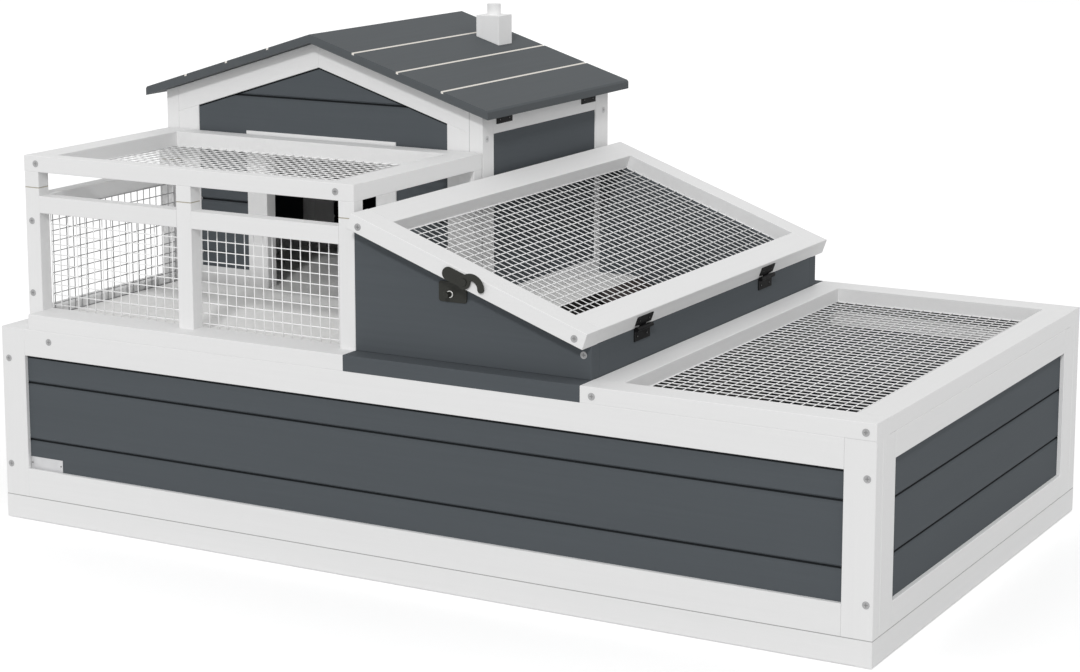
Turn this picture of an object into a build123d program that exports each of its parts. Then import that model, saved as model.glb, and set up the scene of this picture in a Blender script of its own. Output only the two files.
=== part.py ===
from build123d import *
import os
from math import cos, radians, sin, sqrt, tan

# A wooden tortoise house: a long ground box with a floor, a raised deck and a ramp. On the box stand
# a balcony of posts and wire, a gabled house with a hinged roof, a hutch under a hinged sloping wire
# lid, and a flat wire lid over the run. Places are measured from the front left bottom corner, X to
# the right along the front, Y to the back, Z up, and the finished model is moved to its origin, the
# middle of the footprint on the ground.

# Timber sections
board = 18.0
stock = 34.0
ease = 0.5
plank = 9.0
plank_setback = 5.0
house_plank_setback = 1.5
plank_groove = 3.0
groove_depth = 6.0
long_wall_seams = (0.0, 68.7)
end_wall_seams = (14.8, 57.6)
gable_seams = (37.6, 67.3)
side_wall_seams = (14.0, 67.3)
deck_board = 9.0
ply = 6.0
seat_gap = 0.3

# Ground box
base_length = 1100.0
base_depth = 640.0
plinth_height = 28.0
wall_height = 203.0
end_top_rail = 28.0
front_top_rail = 32.0
end_bottom_rail = 27.5
floor_top = plinth_height

# Frame lying on the ground box
top_layer = 18.0
hutch_left = 480.0
hutch_width = 292.0
sill_depth = 44.0
lid_gap = 0.3

# Deck and ramp
hutch_deck = 60.0
deck_board_count = 5
ramp_length = 337.0
ramp_width = 110.0
ramp_inset = 5.0
tread_pitch = 44.0
tread_width = 9.0
tread_height = 5.0

# Upper floor outline, shared by the balcony and the house
upper_left = 20.0
upper_front = 26.0
house_front = 302.0

# Balcony
balcony_left = 21.0
balcony_house_gap = 2.0
balcony_post_width = 20.5
balcony_post_height = 163.7
balcony_leg_height = 18.5
balcony_rail_height = 20.0
balcony_rail_drop = 9.7
balcony_lid_thickness = 19.0
balcony_lid_front_rail = 18.0
balcony_lid_back_rail = 26.0

# House
house_front_post = 26.0
gable_post = 31.0
gable_rake = 30.0
house_bottom_rail = 20.0
eave_rail = 28.0
doorway_width = 160.0
doorway_height = 167.0
jamb_width = 29.0

# Roof
eave_gap = 47.2
roof_slope = 17.4
roof_board = 10.0
roof_side_overhang = 18.0
roof_front_overhang = 19.0
roof_back_overhang = 22.0
roof_boards_per_slope = 4
roof_groove = 1.8
roof_cleat_width = 20.0
roof_cleat_depth = 12.0
roof_cleat_inset = 8.0
chimney_side = 33.5
chimney_from_ridge = 88.8
chimney_from_back = 46.0
chimney_rise = 4.8
chimney_cap_diameter = 17.5
chimney_cap_height = 14.0

# Hutch and its sloping lid
hutch_low_wall = 36.4
middle_beam_lap = 18.0
middle_beam_width = 36.0
lid_slope = 19.6
lid_wall_gap = 3.7
lid_overhang = 21.0
lid_thickness = 18.0

# Butt hinges
hinge_length = 36.5
lid_hinge_leaf = 13.5
roof_hinge_leaf = 12.5
hinge_leaf_thickness = 1.2
hinge_barrel_radius = 2.6
hinge_pin_radius = 1.3
hinge_bore_clearance = 0.05
hinge_face_gap = 0.7
knuckle_share = 0.3
knuckle_gap = 0.3
lid_hinge_shares = (0.2195, 0.7208)
roof_hinge_shares = (0.159, 0.829)

# Latch on the sloping lid's front rail
latch_from_low_edge = 151.5
latch_rise = 8.0
latch_plate_height = 14.6
latch_plate_thickness = 1.5
latch_plate_reach = 21.0
latch_hub_radius = 8.0
latch_lever_thickness = 1.6
latch_lever_gap = 0.2
latch_finger_radius = 12.6
latch_finger_width = 7.5
latch_finger_start = 142.6
latch_finger_arc = 122.0
latch_rivet_radius = 2.5
latch_rivet_head_radius = 4.0
latch_rivet_head = 1.1
latch_rivet_clearance = 0.05
keeper_length = 34.5
keeper_height = 22.0
keeper_thickness = 1.5
keeper_from_left = 108.0
keeper_lid_gap = 1.0
keeper_corner = 3.0
keeper_stud_radius = 3.0
keeper_stud_reach = 9.0
keeper_stud_left = 14.0
keeper_stud_rise = 8.5

# Wire nets
wire = 1.5
flat_net_counts = (8, 18)
sloping_net_counts = (8, 16)
balcony_net_counts = (10, 6)
front_net_counts = (10, 4)
left_net_counts = (6, 4)
net_lap = 9.0

# Sizes that follow from the ones above
wall_top = plinth_height + wall_height
layer_top = wall_top + top_layer
upper_right = hutch_left
hutch_right = hutch_left + hutch_width
deck_top = wall_top + deck_board
deck_right = hutch_left + hutch_deck
balcony_back = house_front - balcony_house_gap
deck_left = balcony_left + balcony_post_width
balcony_post_top = wall_top + balcony_post_height
balcony_rail_top = balcony_post_top - balcony_rail_drop
balcony_rail_bottom = balcony_rail_top - balcony_rail_height
balcony_lid_bottom = balcony_post_top + balcony_leg_height
ridge_x = (upper_left + upper_right) / 2
house_back = base_depth - roof_back_overhang
roof_tan = tan(radians(roof_slope))
roof_cos = cos(radians(roof_slope))
roof_sin = sin(radians(roof_slope))
eave_height = balcony_lid_bottom + balcony_lid_thickness + eave_gap
ridge_height = eave_height + (upper_right - ridge_x) * roof_tan + roof_board / roof_cos
chimney_top = ridge_height + chimney_rise
lid_tan = tan(radians(lid_slope))
lid_cos = cos(radians(lid_slope))
lid_sin = sin(radians(lid_slope))
lid_low_height = layer_top + hutch_low_wall
lid_length = (hutch_width - lid_wall_gap) / lid_cos
hinge_standoff = hinge_barrel_radius + hinge_face_gap

nodes = {}


def put(name, *solids):
    """Adds solids to the named node."""
    nodes.setdefault(name, []).extend(solids)


def block(low, high):
    """Box between two corners, with no eased edges."""
    size = [b - a for a, b in zip(low, high)]
    centre = [(a + b) / 2 for a, b in zip(low, high)]
    return Pos(*centre) * Box(*size)


def timber(low, high):
    """Planed board between two corners, its long edges eased and its ends cut square."""
    sizes = [b - a for a, b in zip(low, high)]
    length_axis = (Axis.X, Axis.Y, Axis.Z)[sizes.index(max(sizes))]
    return chamfer(block(low, high).edges().filter_by(length_axis), ease)


def eased(shape):
    """The shape with all its edges eased."""
    return chamfer(shape.edges(), ease)


def prism(points, y_low, y_high):
    """Upright shape drawn in X and Z and run along Y."""
    face = Face(Wire.make_polygon([Vector(x, y_low, z) for x, z in points]))
    return Solid.extrude(face, Vector(0, y_high - y_low, 0))


def eased_prism(points, y_low, y_high):
    """Board drawn in X and Z and run along Y, its edges eased."""
    return eased(prism(points, y_low, y_high))


def net(length, width, counts):
    """Welded wire net lying in the XY plane from its corner, as one holed face given a thickness."""
    columns, rows = counts
    pitch_x = (length - wire) / columns
    pitch_y = (width - wire) / rows
    outline = Wire.make_polygon([Vector(x, y) for x, y in rectangle(0, 0, length, width)])
    holes = []
    for i in range(columns):
        for j in range(rows):
            x = wire + i * pitch_x
            y = wire + j * pitch_y
            corners = rectangle(x, y, x + pitch_x - wire, y + pitch_y - wire)
            holes.append(Wire.make_polygon([Vector(a, b) for a, b in corners]))
    return Solid.extrude(Face(outline, holes), Vector(0, 0, wire))


def rectangle(x_low, y_low, x_high, y_high):
    """Corners of a rectangle, in order."""
    return [(x_low, y_low), (x_high, y_low), (x_high, y_high), (x_low, y_high)]


def grooved_plank(low, high, groove_low, groove_high):
    """Plank whose outer face lies at the lower Y, with half a V-groove on each edge that meets another."""
    shape = block(low, high)
    edges = [e for e in shape.edges().filter_by(Axis.X) if abs(e.center().Y - low[1]) < ease]
    cut = [e for e in edges if groove_high and abs(e.center().Z - high[2]) < ease]
    cut += [e for e in edges if groove_low and abs(e.center().Z - low[2]) < ease]
    return chamfer(cut, plank_groove) if cut else shape


def seams_between(z_low, z_high, foot, seams):
    """Plank seams inside a range, from the first seam's rise above the wall's foot and the pitch."""
    rise, pitch = seams
    base = foot + rise
    count = int((z_high - z_low) / pitch) + 2
    first = int((z_low - base) / pitch)
    heights = [base + pitch * k for k in range(first, first + count + 1)]
    return [z for z in heights if z_low + plank_groove < z < z_high - plank_groove]


def plank_stack(x_low, x_high, y_low, z_low, z_high, foot, seams):
    """Planks laid on edge on one another, from z_low to z_high."""
    levels = [z_low] + seams_between(z_low, z_high, foot, seams) + [z_high]
    planks = []
    for k in range(len(levels) - 1):
        low = (x_low, y_low, levels[k])
        high = (x_high, y_low + plank, levels[k + 1])
        planks.append(grooved_plank(low, high, k > 0, k < len(levels) - 2))
    return planks


def framed_wall(length, z_low, z_high, left_post, right_post, bottom_rail, top_rail, setback, seams):
    """Wall that faces the lower Y: two posts, two rails and planks held in their grooves."""
    x_low, x_high = left_post, length - right_post
    planks_low, planks_high = z_low + bottom_rail, z_high - top_rail
    frame = [
        timber((0, 0, z_low), (left_post, board, z_high)),
        timber((x_high, 0, z_low), (length, board, z_high)),
        timber((x_low, 0, z_low), (x_high, board, planks_low)),
        timber((x_low, 0, planks_high), (x_high, board, z_high)),
    ]
    groove = block(
        (x_low - groove_depth, setback, planks_low - groove_depth),
        (x_high + groove_depth, setback + plank, planks_high + groove_depth),
    )
    frame = [piece - groove for piece in frame]
    planks = plank_stack(
        x_low - groove_depth, x_high + groove_depth, setback,
        planks_low - groove_depth, planks_high + groove_depth, z_low, seams,
    )
    return frame, planks


def solids_of(shapes):
    """All the solids in a list of shapes."""
    return [solid for shape in shapes for solid in shape.solids()]


def placed(shapes, location):
    """The shapes, each moved to a place."""
    return [location * shape for shape in shapes]


def build_plinth():
    """Four boards on the ground, the side ones as deep as the box."""
    ends = base_length - board
    put("plinth_sides", timber((0, 0, 0), (board, base_depth, plinth_height)),
        timber((ends, 0, 0), (base_length, base_depth, plinth_height)))
    back = base_depth - board
    put("plinth_front", timber((board, 0, 0), (ends, board, plinth_height)))
    put("plinth_back", timber((board, back, 0), (ends, base_depth, plinth_height)))


def build_floor():
    """Thin floor on four cleats inside the plinth."""
    x_high = base_length - board
    y_high = base_depth - board
    floor_bottom = floor_top - ply
    put("floor_panel", block((board, board, floor_bottom), (x_high, y_high, floor_top)))
    low = floor_bottom - board
    rows = [board, base_depth / 2 - stock / 2, y_high - stock]
    for y in rows:
        put("floor_cleats", timber((board, y, low), (x_high, y + stock, floor_bottom)))


def build_walls():
    """Four walls of the ground box, the end walls between the front and back ones."""
    frame, planks = framed_wall(
        base_length, plinth_height, wall_top, stock, stock, stock, front_top_rail,
        plank_setback, long_wall_seams,
    )
    put("front_wall_frame", *frame)
    put("front_wall_planks", *planks)
    turn_back = Pos(base_length, base_depth, 0) * Rot(0, 0, 180)
    put("back_wall_frame", *placed(frame, turn_back))
    put("back_wall_planks", *placed(planks, turn_back))
    end_length = base_depth - board - board
    frame, planks = framed_wall(
        end_length, plinth_height, wall_top, stock, stock, end_bottom_rail, end_top_rail,
        plank_setback, end_wall_seams,
    )
    turn_right = Pos(base_length, board, 0) * Rot(0, 0, 90)
    turn_left = Pos(0, base_depth - board, 0) * Rot(0, 0, -90)
    put("right_wall_frame", *placed(frame, turn_right))
    put("right_wall_planks", *placed(planks, turn_right))
    put("left_wall_frame", *placed(frame, turn_left))
    put("left_wall_planks", *placed(planks, turn_left))


def build_sills():
    """Boards that lie on the box under the balcony and round the hutch."""
    back = base_depth - sill_depth
    put("balcony_sill", timber((deck_left, 0, wall_top), (hutch_left, sill_depth, layer_top)))
    put("hutch_sills",
        timber((hutch_left, 0, wall_top), (hutch_right, sill_depth, layer_top)),
        timber((hutch_left, back, wall_top), (hutch_right, base_depth, layer_top)),
        timber((hutch_right - stock, sill_depth, wall_top), (hutch_right, back, layer_top)))


def build_deck():
    """Raised floor of boards on flat cleats and joists, open over the ramp."""
    low = wall_top - board
    inner_front, inner_back = board + stock, base_depth - board - stock
    put("deck_cleats",
        timber((board, board, low), (deck_right, inner_front, wall_top)),
        timber((board, inner_back, low), (deck_right, base_depth - board, wall_top)),
        timber((board, inner_front, low), (inner_front, inner_back, wall_top)))
    middle = (inner_front + deck_right) / 2 - stock
    for x in (middle, deck_right - stock):
        put("deck_cleats", timber((x, inner_front, low), (x + stock, inner_back, wall_top)))
    beam_left = hutch_right - middle_beam_lap
    put("middle_beam",
        timber((beam_left, board, wall_top - stock),
               (beam_left + middle_beam_width, base_depth - board, wall_top)))
    width = (upper_right - deck_left) / deck_board_count
    for k in range(deck_board_count):
        x = deck_left + k * width
        put("deck_boards", timber((x, sill_depth, wall_top), (x + width, house_back, deck_top)))
    edge_back = base_depth - sill_depth
    put("deck_boards",
        timber((upper_right, sill_depth, wall_top), (deck_right, edge_back, deck_top)))


def build_ramp():
    """Board from the deck's edge down to the floor, with treads across it."""
    drop = deck_top - floor_top
    run = sqrt(ramp_length ** 2 - drop ** 2)
    run_share, drop_share = run / ramp_length, drop / ramp_length
    y_high = base_depth - sill_depth
    y_low = y_high - ramp_width
    top = (deck_right + seat_gap, deck_top)
    foot = (deck_right + seat_gap + run, floor_top)
    heel = (foot[0] - deck_board / drop_share, floor_top)
    under = (deck_right + seat_gap, deck_top - deck_board / run_share)
    put("ramp_board", prism([top, foot, heel, under], y_low, y_high))
    count = int(ramp_length / tread_pitch)
    for k in range(1, count):
        along = k * tread_pitch
        x = top[0] + along * run_share
        z = top[1] - along * drop_share
        corners = [
            (x, z),
            (x + tread_width * run_share, z - tread_width * drop_share),
            (x + tread_width * run_share + tread_height * drop_share,
             z - tread_width * drop_share + tread_height * run_share),
            (x + tread_height * drop_share, z + tread_height * run_share),
        ]
        put("ramp_treads", prism(corners, y_low + ramp_inset, y_high - ramp_inset))


def build_flat_lid():
    """Wire lid over the run: two rails, two side pieces between them and a net under the opening."""
    x_low, x_high = hutch_right + lid_gap, base_length
    side_back = base_depth - stock
    put("flat_lid_frame",
        timber((x_low, 0, wall_top), (x_high, stock, layer_top)),
        timber((x_low, side_back, wall_top), (x_high, base_depth, layer_top)),
        timber((x_low, stock, wall_top), (x_low + stock, side_back, layer_top)),
        timber((x_high - stock, stock, wall_top), (x_high, side_back, layer_top)))
    length = x_high - x_low - stock - stock
    corner = Pos(x_low + stock, stock, wall_top)
    put("flat_lid_net", corner * net(length, side_back - stock, flat_net_counts))


def build_balcony():
    """Posts and rails round the balcony, with nets behind them."""
    left, right = balcony_left, upper_right
    front, back = upper_front, balcony_back
    post = balcony_post_width
    middle = (left + right - post) / 2
    rear_post = back - board
    front_inner = front + board
    posts = [
        (left, front, wall_top), (middle, front, layer_top), (right - post, front, layer_top),
        (left, rear_post, wall_top), (right - post, rear_post, deck_top),
    ]
    for x, y, z in posts:
        high = (x + post, y + board)
        put("balcony_posts", timber((x, y, z), (*high, balcony_post_top)))
        leg = block((x, y, balcony_post_top), (*high, balcony_lid_bottom))
        put("balcony_lid_legs", eased(leg))
    for x_low, x_high in ((left + post, middle), (middle + post, right - post)):
        put("balcony_front_rails",
            timber((x_low, front, balcony_rail_bottom), (x_high, front_inner, balcony_rail_top)))
    for x in (left, right - post):
        put("balcony_side_rails",
            timber((x, front_inner, balcony_rail_bottom), (x + post, rear_post, balcony_rail_top)))
    put("balcony_side_rails",
        timber((left, front_inner, wall_top), (left + post, rear_post, layer_top)))
    net_top = balcony_rail_bottom + net_lap
    inner_left, inner_right = left + post, right - post
    upright = Pos(inner_left, front_inner + wire, deck_top) * Rot(90, 0, 0)
    put("balcony_front_net", upright * net(inner_right - inner_left, net_top - deck_top, front_net_counts))
    sideways = Pos(inner_left, front_inner + wire, deck_top) * Rot(0, 0, 90) * Rot(90, 0, 0)
    length = rear_post - front_inner - wire
    put("balcony_left_net", sideways * net(length, net_top - deck_top, left_net_counts))


def build_balcony_lid():
    """Wire lid on short legs over the balcony."""
    left, right = balcony_left, upper_right
    front, back = upper_front, balcony_back
    low, high = balcony_lid_bottom, balcony_lid_bottom + balcony_lid_thickness
    side_front = front + balcony_lid_front_rail
    side_back = back - balcony_lid_back_rail
    put("balcony_lid_frame",
        timber((left, front, low), (right, side_front, high)),
        timber((left, side_back, low), (right, back, high)),
        timber((left, side_front, low), (left + stock, side_back, high)),
        timber((right - stock, side_front, low), (right, side_back, high)))
    corner = Pos(left + stock, side_front, low)
    length = right - left - stock - stock
    put("balcony_lid_net", corner * net(length, side_back - side_front, balcony_net_counts))


def roof_underside(x):
    """Height of the roof boards' underside at a place along the front."""
    return ridge_height - roof_board / roof_cos - abs(x - ridge_x) * roof_tan


def under_roof(points_x, drop):
    """Points of a line that follows the roof's underside, some way below it."""
    return [(x, roof_underside(x) - drop) for x in points_x]


def build_gable(prefix, y_low, with_door):
    """Gabled end wall of the house, its outer face at the lower Y."""
    y_high = y_low + board
    left, right = upper_left + board, upper_right - board
    infill_left, infill_right = left + gable_post, right - gable_post
    rake_drop = gable_rake / roof_cos
    foot = deck_top
    frame = []
    for x_low, x_high in ((left, infill_left), (infill_right, right)):
        outline = [(x_low, foot), (x_high, foot)] + under_roof((x_high, x_low), rake_drop)
        frame.append(eased_prism(outline, y_low, y_high))
    for x_low, x_high in ((left, ridge_x), (ridge_x, right)):
        outline = under_roof((x_low, x_high), rake_drop) + under_roof((x_high, x_low), seat_gap)
        frame.append(eased_prism(outline, y_low, y_high))
    door_left = ridge_x - doorway_width / 2 - jamb_width
    door_right = ridge_x + doorway_width / 2 + jamb_width
    rail_spans = [(infill_left, infill_right)]
    if with_door:
        rail_spans = [(infill_left, door_left), (door_right, infill_right)]
    rail_top = foot + house_bottom_rail
    for x_low, x_high in rail_spans:
        frame.append(timber((x_low, y_low, foot), (x_high, y_high, rail_top)))
    put(prefix + "_frame", *frame)
    peak = [(ridge_x, roof_underside(ridge_x) - rake_drop)]
    outline = [(infill_left, rail_top), (infill_right, rail_top)]
    outline += under_roof((infill_right,), rake_drop) + peak + under_roof((infill_left,), rake_drop)
    infill = prism(outline, y_low, y_high)
    if with_door:
        head_top = foot + doorway_height + jamb_width
        infill -= block((door_left, y_low, foot), (door_right, y_high, head_top))
    stack = plank_stack(
        infill_left, infill_right, y_low + house_plank_setback, rail_top, peak[0][1], foot, gable_seams,
    )
    put(prefix + "_planks", *solids_of([slab & infill for slab in stack]))


def build_doorway():
    """Jambs and head round the way from the balcony into the house."""
    y_low, y_high = house_front, house_front + board
    head_bottom = deck_top + doorway_height
    head_top = head_bottom + jamb_width
    inner_left, inner_right = ridge_x - doorway_width / 2, ridge_x + doorway_width / 2
    put("doorway_jambs",
        timber((inner_left - jamb_width, y_low, deck_top), (inner_left, y_high, head_bottom)),
        timber((inner_right, y_low, deck_top), (inner_right + jamb_width, y_high, head_bottom)))
    put("doorway_head",
        timber((inner_left - jamb_width, y_low, head_bottom), (inner_right + jamb_width, y_high, head_top)))


def build_side_wall(prefix, foot, posts, location, cutter):
    """Side wall of the house, made facing the lower Y and then turned, its top cut to the roof."""
    length = house_back - house_front
    crest = roof_underside(upper_right - board)
    bottom_rail = deck_top + house_bottom_rail - foot
    rise, pitch = side_wall_seams
    seams = (rise + deck_top - foot, pitch)
    frame, planks = framed_wall(
        length, foot, crest, *posts, bottom_rail, eave_rail + crest - eave_height,
        house_plank_setback, seams,
    )
    put(prefix + "_frame", *solids_of([piece & cutter for piece in placed(frame, location)]))
    put(prefix + "_planks", *solids_of(placed(planks, location)))


def build_house():
    """The four walls of the house, the left one standing beside the deck on its cleat."""
    build_gable("house_front", house_front, True)
    build_gable("house_back", house_back - board, False)
    build_doorway()
    outline = [(upper_left, 0), (upper_right, 0)]
    outline += under_roof((upper_right, ridge_x, upper_left), seat_gap)
    cutter = prism(outline, house_front, house_back)
    turn_right = Pos(upper_right, house_front, 0) * Rot(0, 0, 90)
    turn_left = Pos(upper_left, house_back, 0) * Rot(0, 0, -90)
    build_side_wall("house_right", deck_top, (house_front_post, stock), turn_right, cutter)
    build_side_wall("house_left", wall_top, (stock, house_front_post), turn_left, cutter)


def build_roof():
    """Two slopes of grooved boards on cleats, and the chimney."""
    y_low = house_front - roof_front_overhang
    y_high = house_back + roof_back_overhang
    half_span = upper_right + roof_side_overhang - ridge_x
    width = half_span / roof_boards_per_slope
    for side, name in ((-1, "roof_left_boards"), (1, "roof_right_boards")):
        for k in range(roof_boards_per_slope):
            inner, outer = k * width, (k + 1) * width
            corners = []
            for reach, lift in ((inner, 0), (outer, 0), (outer, roof_board), (inner, roof_board)):
                x = ridge_x + side * reach
                corners.append((x, roof_underside(x) + lift / roof_cos))
            body = prism(corners, y_low, y_high)
            lengthwise = body.edges().filter_by(Axis.Y)
            upper = [e for e in lengthwise if e.center().Z - roof_underside(e.center().X) > roof_board / 2]
            seams = [e for e in upper if abs(e.center().X - ridge_x) > roof_groove]
            put(name, chamfer(seams, roof_groove))
    build_roof_cleats()
    build_chimney()


def build_roof_cleats():
    """Two cleats under each slope, clear of the walls."""
    inner_side = upper_right - board - ridge_x - roof_cleat_inset
    rows = (house_front + board + roof_cleat_inset,
            house_back - board - roof_cleat_inset - roof_cleat_width)
    for side in (-1, 1):
        near, far = ridge_x + side * roof_cleat_depth, ridge_x + side * inner_side
        drop = roof_cleat_depth / roof_cos
        outline = under_roof((near, far), 0) + under_roof((far, near), drop)
        for y in rows:
            put("roof_cleats", prism(outline, y, y + roof_cleat_width))


def build_chimney():
    """Square block cut to the right slope, with a round cap."""
    half = chimney_side / 2
    middle_x, middle_y = ridge_x + chimney_from_ridge, house_back - chimney_from_back
    x_low, x_high = middle_x - half, middle_x + half
    lift = roof_board / roof_cos
    outline = [(x, roof_underside(x) + lift) for x in (x_low, x_high)]
    outline += [(x_high, chimney_top), (x_low, chimney_top)]
    put("chimney_block", eased_prism(outline, middle_y - half, middle_y + half))
    cap = Cylinder(chimney_cap_diameter / 2, chimney_cap_height)
    put("chimney_cap", Pos(middle_x, middle_y, chimney_top + chimney_cap_height / 2) * cap)


def lid_underside(x):
    """Height of the sloping lid's underside at a place along the front."""
    return lid_low_height + (hutch_right - x) * lid_tan


def build_hutch():
    """Front, back and right panels, the first two cut to the sloping lid."""
    front = upper_front
    back = base_depth - upper_front
    outline = [(hutch_left, layer_top), (hutch_right, layer_top)]
    outline += [(x, lid_underside(x) - seat_gap) for x in (hutch_right, hutch_left)]
    put("hutch_front_panel", eased_prism(outline, front, front + board))
    put("hutch_back_panel", eased_prism(outline, back - board, back))
    x_low = hutch_right - board
    outline = [(x_low, layer_top), (hutch_right, layer_top)]
    outline += [(x, lid_underside(x) - seat_gap) for x in (hutch_right, x_low)]
    put("hutch_right_panel", eased_prism(outline, front + board, back - board))


def sloping_plane():
    """Plane on the lid's underside at its low edge, X down the slope, Z out of the lid."""
    origin = Vector(hutch_right, 0, lid_low_height)
    return Plane(origin, x_dir=(lid_cos, 0, -lid_sin), z_dir=(lid_sin, 0, lid_cos))


def build_sloping_lid():
    """Wire lid over the hutch, made flat with its low edge at X = 0 and laid on the slope."""
    place = sloping_plane().location
    front = upper_front - lid_overhang
    back = base_depth - front
    inner_front, inner_back = front + stock, back - stock
    put("sloping_lid_frame", *placed([
        timber((-lid_length, front, 0), (0, inner_front, lid_thickness)),
        timber((-lid_length, inner_back, 0), (0, back, lid_thickness)),
        timber((-lid_length, inner_front, 0), (stock - lid_length, inner_back, lid_thickness)),
        timber((-stock, inner_front, 0), (0, inner_back, lid_thickness)),
    ], place))
    wire_net = net(lid_length - stock - stock, inner_back - inner_front, sloping_net_counts)
    put("sloping_lid_net", place * Pos(stock - lid_length, inner_front, 0) * wire_net)


def hinge_leaf_solid(axis, leaf_width, direction, normal, fixed):
    """Leaf with its knuckles round an axis along Y: two outer knuckles, or the one between them."""
    knuckle = hinge_length * knuckle_share
    half = hinge_length / 2
    if fixed:
        spans = [(-half, knuckle - half), (half - knuckle, half)]
    else:
        spans = [(knuckle - half + knuckle_gap, half - knuckle - knuckle_gap)]
    root = hinge_barrel_radius + hinge_face_gap
    top = hinge_leaf_thickness - hinge_standoff
    leaf = block((root, -half, -hinge_standoff), (leaf_width, half, top))
    for low, high in spans:
        leaf += block((0, low, -hinge_standoff), (root, high, top))
        barrel = Cylinder(hinge_barrel_radius, high - low)
        leaf += Pos(0, (low + high) / 2, 0) * Rot(90, 0, 0) * barrel
    bore = Cylinder(hinge_pin_radius + hinge_bore_clearance, hinge_length)
    leaf -= Rot(90, 0, 0) * bore
    plane = Plane(Vector(*axis), x_dir=direction, z_dir=normal)
    return plane.location * leaf


def build_hinges(prefix, axis_x, axis_z, places, leaf_width, moving_direction, moving_normal):
    """Pairs of butt hinges on one axis, the fixed leaf hanging down an upright face."""
    for y in places:
        axis = (axis_x, y, axis_z)
        fixed = hinge_leaf_solid(axis, leaf_width, (0, 0, -1), (1, 0, 0), True)
        put(prefix + "_fixed_leaves", *fixed.solids())
        moving = hinge_leaf_solid(axis, leaf_width, moving_direction, moving_normal, False)
        put(prefix + "_moving_leaves", *moving.solids())
        pin = Cylinder(hinge_pin_radius, hinge_length)
        put(prefix + "_pins", Pos(*axis) * Rot(90, 0, 0) * pin)


def build_lid_hinges():
    """Two hinges on the low edge of the sloping lid."""
    axis_x = hutch_right + hinge_standoff
    axis_z = lid_low_height - hinge_standoff * tan(radians(lid_slope) / 2)
    places = [share * base_depth for share in lid_hinge_shares]
    build_hinges("lid_hinge", axis_x, axis_z, places, lid_hinge_leaf,
                 (lid_sin, 0, lid_cos), (lid_cos, 0, -lid_sin))
    return axis_x, axis_z


def build_roof_hinges():
    """Two hinges under the right eave."""
    axis_x = upper_right + hinge_standoff
    axis_z = roof_underside(upper_right) - hinge_standoff * (1 + roof_sin) / roof_cos
    places = [house_front + share * (house_back - house_front) for share in roof_hinge_shares]
    build_hinges("roof_hinge", axis_x, axis_z, places, roof_hinge_leaf,
                 (roof_cos, 0, -roof_sin), (-roof_sin, 0, -roof_cos))
    return axis_x, axis_z


def build_latch():
    """Plate, lever and rivet on the lid's front rail, and the keeper with its stud on the front panel."""
    origin = Vector(hutch_right, upper_front - lid_overhang, lid_low_height)
    along = Plane(origin, x_dir=(lid_cos, 0, -lid_sin), z_dir=(0, -1, 0)).location
    pivot = Pos(-latch_from_low_edge, latch_rise)
    bore = Circle(latch_rivet_radius + latch_rivet_clearance)
    outline = SlotCenterToCenter(latch_plate_reach, latch_plate_height)
    plate = pivot * (Pos(-latch_plate_reach / 2, 0) * outline - bore)
    put("latch_plate", along * extrude(plate, latch_plate_thickness))
    lever = pivot * (Circle(latch_hub_radius) + finger_sketch() - bore)
    lever_low = latch_plate_thickness + latch_lever_gap
    put("latch_lever", along * Pos(0, 0, lever_low) * extrude(lever, latch_lever_thickness))
    head_low = lever_low + latch_lever_thickness + latch_lever_gap
    rivet = pivot * extrude(Circle(latch_rivet_radius), head_low)
    rivet += pivot * Pos(0, 0, head_low) * extrude(Circle(latch_rivet_head_radius), latch_rivet_head)
    put("latch_rivet", along * rivet)
    build_keeper()
    axis = along * pivot
    return axis.position.X, axis.position.Z


def finger_sketch():
    """Bent finger of the lever, a band along an arc from the hub's top edge to a round end."""
    outer = latch_finger_radius + latch_finger_width / 2
    inner = latch_finger_radius - latch_finger_width / 2
    angle = radians(latch_finger_start)
    rise = latch_hub_radius - latch_finger_width / 2
    centre = (-latch_finger_radius * cos(angle), rise - latch_finger_radius * sin(angle))
    rim = CenterArc(centre, outer, latch_finger_start, -latch_finger_arc)
    heel = CenterArc(centre, inner, latch_finger_start, -latch_finger_arc)
    ends = [Line(rim @ 0, heel @ 0), Line(rim @ 1, heel @ 1)]
    band = make_face([*rim.edges(), *heel.edges(), *ends[0].edges(), *ends[1].edges()])
    tip = (rim @ 1 + heel @ 1) / 2
    return band + Pos(tip.X, tip.Y) * Circle(latch_finger_width / 2)


def build_keeper():
    """Plate on the front panel with a stud that stands forward of it."""
    along = Plane(Vector(0, upper_front, 0), x_dir=(1, 0, 0), z_dir=(0, -1, 0)).location
    outline = RectangleRounded(keeper_length, keeper_height, keeper_corner)
    left = hutch_left + keeper_from_left
    bottom = lid_underside(left + keeper_length) - keeper_lid_gap - keeper_height
    middle = Pos(left + keeper_length / 2, bottom + keeper_height / 2)
    keeper = middle * extrude(outline, keeper_thickness)
    stud = extrude(Circle(keeper_stud_radius), keeper_thickness + keeper_stud_reach)
    keeper += Pos(left + keeper_stud_left, bottom + keeper_stud_rise) * stud
    put("latch_keeper", along * keeper)


def build_all():
    """Makes every node in turn."""
    build_plinth()
    build_floor()
    build_walls()
    build_sills()
    build_deck()
    build_ramp()
    build_flat_lid()
    build_balcony()
    build_balcony_lid()
    build_house()
    build_roof()
    build_hutch()
    build_sloping_lid()
    lid_axis = build_lid_hinges()
    roof_axis = build_roof_hinges()
    return lid_axis, roof_axis, build_latch()


def write_nodes(origin):
    """Writes one STEP file for each node, moved to the model's origin."""
    os.makedirs("parts", exist_ok=True)
    for name, shapes in nodes.items():
        solids = [origin * solid for solid in solids_of(shapes)]
        export_step(Compound(solids), f"parts/{name}.step")


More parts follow.
